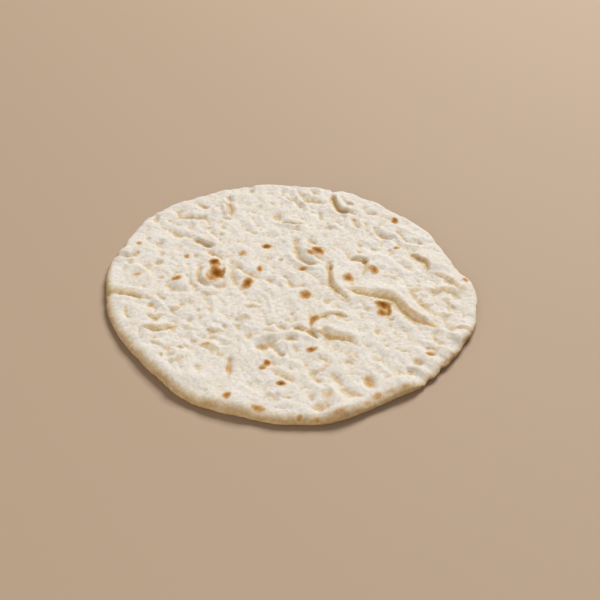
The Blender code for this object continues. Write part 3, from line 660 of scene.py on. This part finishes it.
def crease_depth(x, y):
    """Depth of the creases, the broad ones and the narrow ones."""
    depth = np.zeros(len(x))
    for crease in CREASES + FINE_CREASES:
        here = near_path(x, y, crease.path, LIP_REACH * crease.width)
        off, along = beside_path(x[here], y[here], crease.path)
        across = np.abs(off / crease.width)
        lips = LIP_HEIGHT * np.exp(-((across - LIP_PLACE) / LIP_WIDTH) ** 2)
        depth[here] += crease.depth * fading(along) * (np.exp(-across ** CREASE_EDGE) - lips)
    return depth


def spread_from(x, y, form):
    """How far out a place is in a turned oval, 0 at its middle and 1 on its edge."""
    turn = math.radians(form.turn)
    right = (x - form.x) * math.cos(turn) + (y - form.y) * math.sin(turn)
    ahead = (y - form.y) * math.cos(turn) - (x - form.x) * math.sin(turn)
    return np.hypot(right / form.long, ahead / form.wide)


def mound_height(x, y, mounds):
    """Height of the swellings, and depth of the dents as a negative height."""
    height = np.zeros(len(x))
    for mound in mounds:
        height += mound.height * np.exp(-spread_from(x, y, mound) ** (2 * MOUND_EDGE))
    return height


def toasting_and_shade(x, y):
    """How brown the crust is at each place, from 0 to 1, in uneven spots that fade at their edges."""
    ragged = 1 + SPOT_RAGGED * ripple(x, y, SPOT_WAVES, SPOT_SEED)
    pale = np.ones(len(x))
    for spot in SPOTS:
        pale *= 1 - spot.dark * np.exp(-(spread_from(x, y, spot) * ragged / SPOT_SPREAD) ** SPOT_EDGE)
    return 1 - pale


def outline_radius(angle):
    """Distance from the middle to the outline in each direction."""
    radius = around(OUTLINE, angle)
    for notch in NOTCHES:
        off = (np.degrees(angle) - notch.direction + 180) % 360 - 180
        radius = radius - notch.depth * np.exp(-(off / notch.spread) ** 2)
    round_x = radius * np.cos(angle)
    round_y = radius * np.sin(angle)
    return radius + ripple(round_x, round_y, RIM_LUMPS, RIM_SEED)


def bottom_height(inset, angle):
    """Height of the underside, which is flat on the table except near the rim."""
    share = np.clip(1 - inset / LIFT_REACH, 0, 1)
    return around(RIM_LIFT, angle) * share ** 2


def square_to_round(x, y):
    """Turn a square's places into a share of the radius and a direction, ring by ring."""
    wide = np.abs(x) >= np.abs(y)
    ring = np.where(wide, np.abs(x), np.abs(y))
    safe_x = np.where(wide & (ring > 0), x, 1)
    safe_y = np.where(~wide, y, 1)
    flat_angle = y / safe_x * math.pi / 4 + np.where(x < 0, math.pi, 0)
    steep_angle = math.pi / 2 - x / safe_y * math.pi / 4 + np.where(y < 0, math.pi, 0)
    return ring, np.where(wide, flat_angle, steep_angle) % (2 * math.pi)


def is_level(edge):
    """Whether an edge of the blank runs along the table."""
    return abs(edge.verts[0].co.z - edge.verts[1].co.z) < ROUNDING


def make_blank():
    """A cube whose top and underside are cut into a grid and whose sides are cut into rows."""
    blank = bmesh.new()
    bmesh.ops.create_cube(blank, size=2)
    uprights = [edge for edge in blank.edges if not is_level(edge)]
    bmesh.ops.subdivide_edges(blank, edges=uprights, cuts=DOWN - 1)
    level = [edge for edge in blank.edges if is_level(edge)]
    bmesh.ops.subdivide_edges(blank, edges=level, cuts=ACROSS - 1, use_grid_fill=True)
    mesh = bpy.data.meshes.new("pinsa_crust")
    blank.to_mesh(mesh)
    blank.free()
    return mesh


def read_places(mesh):
    """The mesh's points as an array."""
    flat = np.empty(len(mesh.vertices) * 3)
    mesh.vertices.foreach_get("co", flat)
    return flat.reshape(-1, 3)


def write_values(mesh, name, values):
    """Keep one number for each point, for the material to read."""
    layer = mesh.attributes.new(name, "FLOAT", "POINT")
    layer.data.foreach_set("value", values.astype(np.float32))


def top_height(x, y, inset, angle, bottom):
    """Height of the bread's top, and how bare of flour and how darkened by painted shade the faces of its
    laps are.
    """
    rise = np.exp(-(inset / RIM_BAND) ** 2)
    plain = MIDDLE_HEIGHT + (around(RIM_TOP, angle) - MIDDLE_HEIGHT) * rise
    laps, bare_and_shade = lap_form(x, y)
    folds = fold_height(x, y) + laps
    creases = crease_depth(x, y)
    dents = mound_height(x, y, MOUNDS + FINE_MOUNDS)
    wrinkles = ripple(x, y, WRINKLES, WRINKLE_SEED)
    grain = ripple(x, y, GRAIN, GRAIN_SEED) + ripple(*drawn_out(x, y), PUCKERS, PUCKER_SEED, pucker)
    bulging = np.clip((folds + np.clip(dents, 0, None)) / TAUT_FROM, 0, 1)
    grain *= 1 - SMOOTHED * np.maximum(bare_and_shade, TAUT * bulging)
    top = plain + folds - creases + dents + wrinkles + grain - SPOT_SINK * toasting_and_shade(x, y)
    return np.maximum(top, bottom + THINNEST), bare_and_shade


def shape_bread(mesh):
    """Move the blank's points to the bread's surface and note how toasted and how sunken each is."""
    places = read_places(mesh)
    level = places[:, 2]
    ring, angle = square_to_round(places[:, 0], places[:, 1])
    radius = outline_radius(angle)
    on_side = ring > 1 - ROUNDING
    over = level > 0
    shoulder = around(SHOULDER, angle)
    edge = np.where(over, shoulder, FOOT)
    flat_inset = radius - ring * (radius - edge)
    # Places on the side take their heights from the shoulder above them and the foot below them
    top_inset = np.where(on_side, shoulder, flat_inset)
    x = (radius - top_inset) * np.cos(angle)
    y = (radius - top_inset) * np.sin(angle)
    bottom = bottom_height(np.where(on_side, FOOT, flat_inset), angle)
    top, bare_and_shade = top_height(x, y, top_inset, angle, bottom)
    # The side is a quarter ellipse over the widest line and another one under it
    widest = bottom + WIDEST_AT * (top - bottom)
    turn = level * math.pi / 2
    side_height = widest + np.where(over, top - widest, widest - bottom) * np.sin(turn)
    reach = radius - np.where(on_side, edge * (1 - np.cos(turn)), flat_inset)
    # Browning runs over the rim as if its side were rolled out flat
    rolled = reach + np.where(on_side, top - side_height, 0)
    brown = toasting_and_shade(rolled * np.cos(angle), rolled * np.sin(angle))
    # The rim's side swells and dips a little, and the underside has shallow hollows
    squeezed = reach * np.sin(angle) + SIDE_SQUEEZE * side_height
    bulge = ripple(reach * np.cos(angle), squeezed, GRAIN, SIDE_SEED)
    reach = reach + np.where(on_side, bulge * np.cos(turn), 0)
    hollow = np.clip(ripple(x, y, UNDER_DIMPLES, UNDER_SEED), 0, None)
    height = np.where(on_side, side_height, np.where(over, top, bottom + hollow))
    places = np.column_stack([reach * np.cos(angle), reach * np.sin(angle), height])
    low = places.min(axis=0)
    high = places.max(axis=0)
    places[:, :2] -= (low[:2] + high[:2]) / 2
    mesh.vertices.foreach_set("co", (places * MM).ravel())
    mesh.update()
    upper = np.where(on_side, 1 - down_side(level, TOAST_ENDS), over)
    # Below the pale share, the rim's side turns tan: partly bare baked dough, partly painted shade on the
    # side that the main light misses
    bare_and_shaded_side = np.clip((1 - level - around(FLOURED_AND_LIT, angle)) / FLOUR_EDGE, 0, 1)
    write_values(mesh, "toast_and_shade", brown * upper)
    write_values(mesh, "bare_and_shade", bare_and_shade * upper)
    write_values(mesh, "side", np.where(on_side, bare_and_shaded_side, 0))
    write_values(mesh, "low", np.where(on_side, down_side(level, LOW_SIDE), 0))
    write_values(mesh, "under", np.where(on_side, down_side(level, UNDER_STARTS), 1.0 - over))
    # How sunken each point is, at a small and a broad size. The colour turns sunken places tan, partly as
    # painted shade.
    write_values(mesh, "hollow", hollowness(mesh, places, FINE_ROUNDS))
    write_values(mesh, "broad_hollow", hollowness(mesh, places, BROAD_ROUNDS))


def down_side(level, between):
    """How far down the rim's side a place is, from 0 at the upper of two levels to 1 at the lower."""
    upper, lower = between
    return np.clip((upper - level) / (upper - lower), 0, 1)


def hollowness(mesh, places, rounds):
    """How far each point lies below the smoothed surface round it, in millimetres."""
    pairs = np.empty(len(mesh.edges) * 2, np.int32)
    mesh.edges.foreach_get("vertices", pairs)
    first, second = pairs.reshape(-1, 2).T
    count = len(places)
    neighbours = np.bincount(first, minlength=count) + np.bincount(second, minlength=count)
    smooth = places.copy()
    for _ in range(rounds):
        for axis in range(3):
            line = smooth[:, axis]
            total = np.bincount(first, line[second], count) + np.bincount(second, line[first], count)
            smooth[:, axis] = (line + total) / (neighbours + 1)
    facing = np.empty(count * 3, np.float32)
    mesh.vertex_normals.foreach_get("vector", facing)
    return np.sum((smooth - places) * facing.reshape(-1, 3), axis=1)


def simplify(bread):
    """Fewer triangles where the surface is nearly flat, above all underneath."""
    simpler = bread.modifiers.new("Simpler", "DECIMATE")
    simpler.ratio = TRIANGLES / (2 * len(bread.data.polygons))
    bpy.context.view_layer.update()
    evaluated = bread.evaluated_get(bpy.context.evaluated_depsgraph_get())
    final = bpy.data.meshes.new_from_object(evaluated)
    bread.modifiers.clear()
    full = bread.data
    bread.data = final
    bpy.data.meshes.remove(full)
    final.name = "pinsa_crust"


class Nodes:
    """Short ways to add and join the nodes of one material."""

    def __init__(self, name):
        self.material = bpy.data.materials.new(name)
        self.material.use_nodes = True
        self.tree = self.material.node_tree
        self.surface = self.tree.nodes["Principled BSDF"]

    def add(self, kind, **settings):
        node = self.tree.nodes.new(kind)
        for name, value in settings.items():
            setattr(node, name, value)
        return node

    def join(self, start, end):
        self.tree.links.new(start, end)

    def value(self, name):
        """A number that the mesh holds for each point."""
        return self.add("ShaderNodeAttribute", attribute_name=name).outputs["Fac"]

    def noise(self, pattern):
        """Noise that follows a pattern."""
        node = self.add("ShaderNodeTexNoise")
        self.join(self.place, node.inputs["Vector"])
        node.inputs["Scale"].default_value = 1 / pattern.size
        node.inputs["Detail"].default_value = pattern.detail
        node.inputs["Roughness"].default_value = pattern.roughness
        node.inputs["Distortion"].default_value = pattern.warp
        return node.outputs["Fac"]

    @property
    def place(self):
        return self.add("ShaderNodeTexCoord").outputs["Object"]

    def between(self, value, low, high, to_low=0.0, to_high=1.0):
        """Stretch a value from one range to another, smoothly and without passing it."""
        node = self.add("ShaderNodeMapRange", interpolation_type="SMOOTHSTEP")
        self.join(value, node.inputs["Value"])
        for name, number in zip(("From Min", "From Max", "To Min", "To Max"), (low, high, to_low, to_high)):
            node.inputs[name].default_value = number
        return node.outputs["Result"]

    def math(self, operation, first, second):
        node = self.add("ShaderNodeMath", operation=operation)
        for socket, value in zip(node.inputs, (first, second)):
            if isinstance(value, (int, float)):
                socket.default_value = value
            else:
                self.join(value, socket)
        return node.outputs["Value"]

    def mix(self, share, first, second):
        """Mix two colours, each a tuple or a socket."""
        node = self.add("ShaderNodeMix", data_type="RGBA")
        colours = [socket for socket in node.inputs if socket.type == "RGBA"]
        self.join(share, node.inputs["Factor"])
        for socket, colour in zip(colours, (first, second)):
            if isinstance(colour, tuple):
                socket.default_value = (*colour, 1)
            else:
                self.join(colour, socket)
        return [socket for socket in node.outputs if socket.type == "RGBA"][0]

    def shade(self, colour, share):
        """Darken a colour evenly to a share of itself."""
        node = self.add("ShaderNodeVectorMath", operation="SCALE")
        self.join(colour, node.inputs[0])
        self.join(share, node.inputs["Scale"])
        return node.outputs["Vector"]

    def ramp(self, value, stops):
        """Colours along a value: each stop is a place from 0 to 1 and a colour."""
        node = self.add("ShaderNodeValToRGB")
        elements = node.color_ramp.elements
        while len(elements) < len(stops):
            elements.new(1.0)
        for element, (place, colour) in zip(elements, stops):
            element.position = place
            element.color = (*colour, 1)
        self.join(value, node.inputs["Fac"])
        return node.outputs["Color"]


# The crust's colours, from full flour to bare dough, whose tan end also serves as painted shade, and the
# toasted spots' from pale to dark
FLOUR = (0.845, 0.810, 0.765)
DOUGH = (0.770, 0.670, 0.520)
TAN = (0.715, 0.540, 0.335)
OCHRE = (0.560, 0.390, 0.175)
BARING_AND_SHADE = ((0.0, FLOUR), (0.38, DOUGH), (0.72, TAN), (1.0, OCHRE))
TOASTED = ((0.0, (0.74, 0.61, 0.44)), (0.22, (0.64, 0.42, 0.215)), (0.50, (0.45, 0.225, 0.068)),
           (0.75, (0.29, 0.105, 0.012)), (1.0, (0.15, 0.050, 0.004)))


# Brown of the rim's lower side, darker toward the table: partly baked crust, partly painted shade and warm
# bounce light from the table
BAKED_AND_SHADE = (0.590, 0.390, 0.180)
BAKED_AND_SHADE_SHARE = 0.5           # how far the rim's lower side takes that colour, partly baked brown and partly painted shade
GREYEST = 0.85              # how dark the flour's greyest patches are, as a share of its colour

# How much each cause bares the dough: pits, hollows, steep faces, the rim's side, specks and patches. In pits
# and hollows, on steep faces and on the rim's side, the tan is also painted shade.
PIT_BARE_AND_SHADE = 0.08
HOLLOW_BARE_AND_SHADE = 0.48
STEEP_BARE_AND_SHADE = 0.30
RIM_BARE_AND_SHADE = 0.56
BARE_SPECKS = 0.10
BARE_PATCHES = 0.09

# Noise in the crust: the size of its swellings in metres, its detail, its roughness and its warp
Pattern = namedtuple("Pattern", "size detail roughness warp")
SPECKS = Pattern(0.0022, 4, 0.62, 0.0)
PATCHES = Pattern(0.016, 4, 0.55, 0.6)
RIM_PATCHES = Pattern(0.007, 4, 0.60, 0.4)
DUSTING = Pattern(0.005, 5, 0.65, 0.5)
GREYING = Pattern(0.0026, 5, 0.70, 0.0)
BROWNING = Pattern(0.0018, 3, 0.60, 0.0)
STONE_MARKS = Pattern(0.017, 4, 0.55, 0.2)
FRECKLES = Pattern(0.006, 4, 0.60, 0.1)
UNDER_FLOUR = Pattern(0.012, 4, 0.60, 0.0)
PORES = Pattern(0.0012, 4, 0.60, 0.0)
CLINGING_FLOUR = Pattern(0.0034, 4, 0.55, 0.5)
PORE_SHARE = 0.35           # the pores' part of the finest relief
RELIEF_STRENGTH = 0.55
RELIEF_DEPTH = 0.9 * MM

# Light enters the crust a little way, red the farthest, in metres
GLOW = 0.10
GLOW_REACH = (0.004, 0.0028, 0.0018)
GLOW_SCALE = 0.3


def bareness_and_shade(nodes):
    """How bare of flour the crust is, and how much shade is painted on it in its hollows, on its steep faces
    and on the rim's side, from 0 for full flour.
    """
    slope = nodes.add("ShaderNodeSeparateXYZ")
    nodes.join(nodes.add("ShaderNodeTexCoord").outputs["Normal"], slope.inputs["Vector"])
    dusted = nodes.between(nodes.noise(DUSTING), 0.36, 0.62, 0.58, 0.98)
    patchy = nodes.between(nodes.noise(RIM_PATCHES), 0.30, 0.62, 0.55, 1.0)
    # Pits, broad hollows, steep faces and the rim's side turn tan partly as bare dough and partly as painted
    # shade where shade falls. Specks and patches bare the dough at random.
    causes = (
        (nodes.between(nodes.value("hollow"), 0.04, 0.40), PIT_BARE_AND_SHADE),
        (nodes.between(nodes.value("broad_hollow"), 0.12, 0.95), HOLLOW_BARE_AND_SHADE),
        (nodes.between(slope.outputs["Z"], 0.93, 0.40), STEEP_BARE_AND_SHADE),
        (nodes.math("MULTIPLY", nodes.value("side"), patchy), RIM_BARE_AND_SHADE),
        (nodes.between(nodes.noise(SPECKS), 0.30, 0.66), BARE_SPECKS),
        (nodes.between(nodes.noise(PATCHES), 0.36, 0.66), BARE_PATCHES),
    )
    bare_and_shade = nodes.math("MULTIPLY", nodes.value("bare_and_shade"), dusted)
    for cause, share in causes:
        bare_and_shade = nodes.math("ADD", bare_and_shade, nodes.math("MULTIPLY", cause, share))
    return bare_and_shade


def crust_material():
    """Baked dough under flour, creamier and tan in its hollows and on its steep sides, partly as painted
    shade, brown in its spots.
    """
    nodes = Nodes("floured_crust")
    colour = nodes.ramp(bareness_and_shade(nodes), BARING_AND_SHADE)
    # The rim's lower side turns brown toward the table, partly as painted shade
    colour = nodes.mix(nodes.between(nodes.value("low"), 0.1, 1.0, 0.0, BAKED_AND_SHADE_SHARE), colour, BAKED_AND_SHADE)
    colour = nodes.shade(colour, nodes.between(nodes.noise(GREYING), 0.34, 0.62, GREYEST, 1.0))
    uneven = nodes.between(nodes.noise(BROWNING), 0.3, 0.7, -0.07, 0.07)
    brown = nodes.math("ADD", nodes.value("toast_and_shade"), uneven)
    colour = nodes.mix(nodes.between(nodes.value("toast_and_shade"), 0.02, 0.30), colour, nodes.ramp(brown, TOASTED))
    colour = nodes.mix(nodes.value("under"), colour, underside_colour(nodes))
    nodes.join(colour, nodes.surface.inputs["Base Color"])
    # Toasted spots are smoother than flour, but glint less
    nodes.join(nodes.between(brown, 0.1, 0.7, 0.88, 0.62), nodes.surface.inputs["Roughness"])
    nodes.join(nodes.between(brown, 0.1, 0.6, 0.15, 0.03), nodes.surface.inputs["Specular IOR Level"])
    nodes.surface.inputs["Subsurface Weight"].default_value = GLOW
    nodes.surface.inputs["Subsurface Radius"].default_value = GLOW_REACH
    nodes.surface.inputs["Subsurface Scale"].default_value = GLOW_SCALE
    add_finest_relief(nodes)
    return nodes.material


def underside_colour(nodes):
    """The underside is baked on stone: an even cream with brown marks where it touched."""
    touched = nodes.math("MULTIPLY", nodes.between(nodes.noise(STONE_MARKS), 0.48, 0.72), 0.40)
    freckled = nodes.math("MULTIPLY", nodes.between(nodes.noise(FRECKLES), 0.55, 0.75), 0.24)
    marks = nodes.math("MAXIMUM", touched, freckled)
    plain = nodes.mix(nodes.between(nodes.noise(UNDER_FLOUR), 0.35, 0.65), DOUGH, FLOUR)
    return nodes.mix(nodes.between(marks, 0.05, 0.4), plain, nodes.ramp(marks, TOASTED))


def add_finest_relief(nodes):
    """The finest relief, below the mesh's own: dry pores and clinging flour."""
    pores = nodes.math("MULTIPLY", nodes.noise(PORES), PORE_SHARE)
    flour = nodes.math("MULTIPLY", nodes.noise(CLINGING_FLOUR), 1 - PORE_SHARE)
    bump = nodes.add("ShaderNodeBump")
    bump.inputs["Strength"].default_value = RELIEF_STRENGTH
    bump.inputs["Distance"].default_value = RELIEF_DEPTH
    nodes.join(nodes.math("ADD", pores, flour), bump.inputs["Height"])
    nodes.join(bump.outputs["Normal"], nodes.surface.inputs["Normal"])


def make_bread():
    """The visible bread, which stands for the solid."""
    mesh = make_blank()
    bread = bpy.data.objects.new("pinsa_crust", mesh)
    bpy.context.scene.collection.objects.link(bread)
    shape_bread(mesh)
    simplify(bread)
    bread.data.shade_smooth()
    bread.data.materials.append(crust_material())
    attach(bread, "root")
    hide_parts(NODE)


# The stage, in metres
FLOOR_SIZE = 6.0
FLOOR_COLOUR = (0.475, 0.352, 0.250, 1)
FLOOR_ROUGHNESS = 0.75
SKY_COLOUR = (1.0, 0.95, 0.89, 1)
SKY_STRENGTH = 0.20
CAMERA_PLACE = (0.008767, -0.572619, 0.436510)
CAMERA_TILT = 52            # degrees that the camera is turned up from looking straight down
LENS = 54                   # millimetres
FILM_WIDTH = 36


def make_floor():
    """A plain pale floor."""
    bpy.ops.mesh.primitive_plane_add(size=FLOOR_SIZE)
    floor = bpy.context.object
    floor.name = "floor"
    nodes = Nodes("pale_floor")
    nodes.surface.inputs["Base Color"].default_value = FLOOR_COLOUR
    nodes.surface.inputs["Roughness"].default_value = FLOOR_ROUGHNESS
    floor.data.materials.append(nodes.material)


def add_light(name, place, size, power, colour):
    """A soft square light that points at the bread."""
    light = bpy.data.lights.new(name, "AREA")
    light.size = size
    light.energy = power
    light.color = colour
    holder = bpy.data.objects.new(name, light)
    holder.location = place
    holder.rotation_euler = (-Vector(place)).to_track_quat("-Z", "Y").to_euler()
    bpy.context.scene.collection.objects.link(holder)


def add_lights():
    """A soft main light from the far right, a weak warm one from the near left and a faint even sky."""
    add_light("main_light", place=(1.46, 2.72, 3.32), size=2.0, power=214, colour=(1.0, 0.98, 0.95))
    add_light("fill_light", place=(-1.0, -1.9, 0.6), size=1.5, power=22, colour=(1.0, 0.94, 0.86))
    world = bpy.data.worlds.new("soft_sky")
    world.use_nodes = True
    sky = world.node_tree.nodes["Background"]
    sky.inputs["Color"].default_value = SKY_COLOUR
    sky.inputs["Strength"].default_value = SKY_STRENGTH
    bpy.context.scene.world = world
    bpy.context.scene.view_settings.view_transform = "Standard"


def add_camera():
    """The photograph's angle: about 38 degrees above the table, 0.7 m away."""
    camera = bpy.data.cameras.new("camera")
    camera.lens = LENS
    camera.sensor_width = FILM_WIDTH
    holder = bpy.data.objects.new("camera", camera)
    holder.location = CAMERA_PLACE
    holder.rotation_euler = (math.radians(CAMERA_TILT), 0, 0)
    bpy.context.scene.collection.objects.link(holder)
    bpy.context.scene.camera = holder


add_camera()
make_floor()
make_bread()
add_lights()
